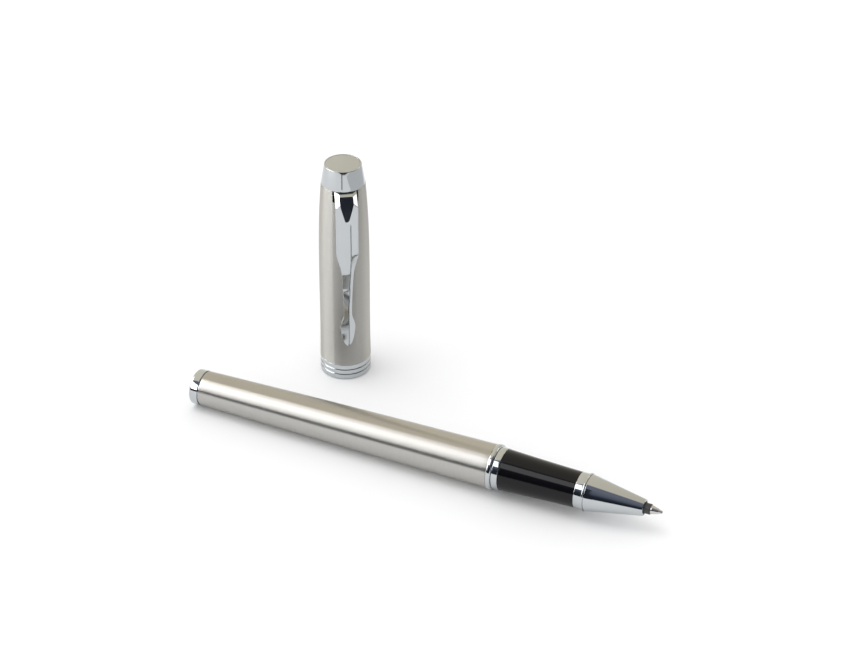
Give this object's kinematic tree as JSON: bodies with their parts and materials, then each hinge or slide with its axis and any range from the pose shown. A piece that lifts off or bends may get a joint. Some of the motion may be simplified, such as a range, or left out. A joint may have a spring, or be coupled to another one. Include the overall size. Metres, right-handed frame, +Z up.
{
  "type": "rollerball pen",
  "caption": "Metal rollerball pen lying uncapped beside its upright cap: tapered brushed barrel, black grip, bright nose cone with refill point, and a cap with a spring clip and bright crown.",
  "frame": {"origin": "on the table at the middle of the footprint of the lying pen and the standing cap", "axes": "+X along the pen towards its nose, +Z up from the table, +Y from the pen towards the cap"},
  "size_m": [0.1236, 0.0422, 0.0595],
  "materials": {
    "brushed_shell": "fine brushed stainless, lengthwise on the barrel",
    "polished_chrome": "mirror chrome plate",
    "black_lacquer": "gloss black lacquer",
    "satin_disc": "satin brushed",
    "black_plastic": "moulded, satin",
    "collar_plastic": "matte",
    "refill_plastic": "moulded, satin",
    "brass": "machined",
    "spring_steel": "bright wire and pressings",
    "point_steel": "turned",
    "ink_fibre": "bonded fibre soaked with dark ink"
  },
  "bodies": {
    "barrel": {"barrel_tube": "brushed_shell", "tail_cap": "polished_chrome", "tail_bush": "black_plastic", "refill_spring": "spring_steel", "mouth_bush": "brass", "barrel_lip_ring": "polished_chrome"},
    "section_ring": {"section_collar": "polished_chrome"},
    "section": {"section_sleeve": "brass", "grip": "black_lacquer", "front_ring": "polished_chrome", "nose_cone": "polished_chrome", "nose_bush": "black_plastic"},
    "refill": {"refill_tube": "refill_plastic", "refill_end_plug": "black_plastic", "ink_reservoir": "ink_fibre", "refill_feed": "refill_plastic", "point_collar": "collar_plastic", "writing_point": "point_steel", "ink_wick": "ink_fibre"},
    "ball": {"writing_ball": "point_steel"},
    "cap": {"cap_tube": "brushed_shell", "cap_lip_ring": "polished_chrome", "inner_cap": "black_plastic", "crown_bush": "brass", "clip_anchor": "spring_steel", "crown": "polished_chrome", "crown_disc": "satin_disc", "crown_screw": "spring_steel"},
    "clip": {"clip": "polished_chrome"}
  },
  "joints": [
    {"name": "section_pull", "type": "slide", "parent": "barrel", "child": "section_ring", "axis": [0.9999, 0, 0.0147], "range_m": [0, 0.11]},
    {"name": "section_turn", "type": "hinge", "parent": "section_ring", "child": "section", "pos_m": [0.02049, -0.0154, 0.00567], "axis": [0.9999, 0, 0.0147], "continuous": true},
    {"name": "refill_draw", "type": "slide", "parent": "barrel", "child": "refill", "axis": [0.9999, 0, 0.0147], "range_m": [0, 0.055]},
    {"name": "ball_roll", "type": "hinge", "parent": "refill", "child": "ball", "pos_m": [0.06146, -0.0154, 0.00628], "axis": [0, 1, 0], "continuous": true},
    {"name": "cap_lift", "type": "slide", "parent": "barrel", "child": "cap", "axis": [0, 0, 1], "range_m": [0, 0.08]},
    {"name": "clip_flex", "type": "hinge", "parent": "cap", "child": "clip", "pos_m": [-0.03281, 0.01068, 0.05366], "axis": [-0.8387, -0.5446, 0], "range_deg": [0, 3], "stiffness_Nm_per_rad": 4}
  ],
  "couplings": [
    {"joint": "refill_draw", "follows": "section_pull", "ratio": 0.5}
  ]
}
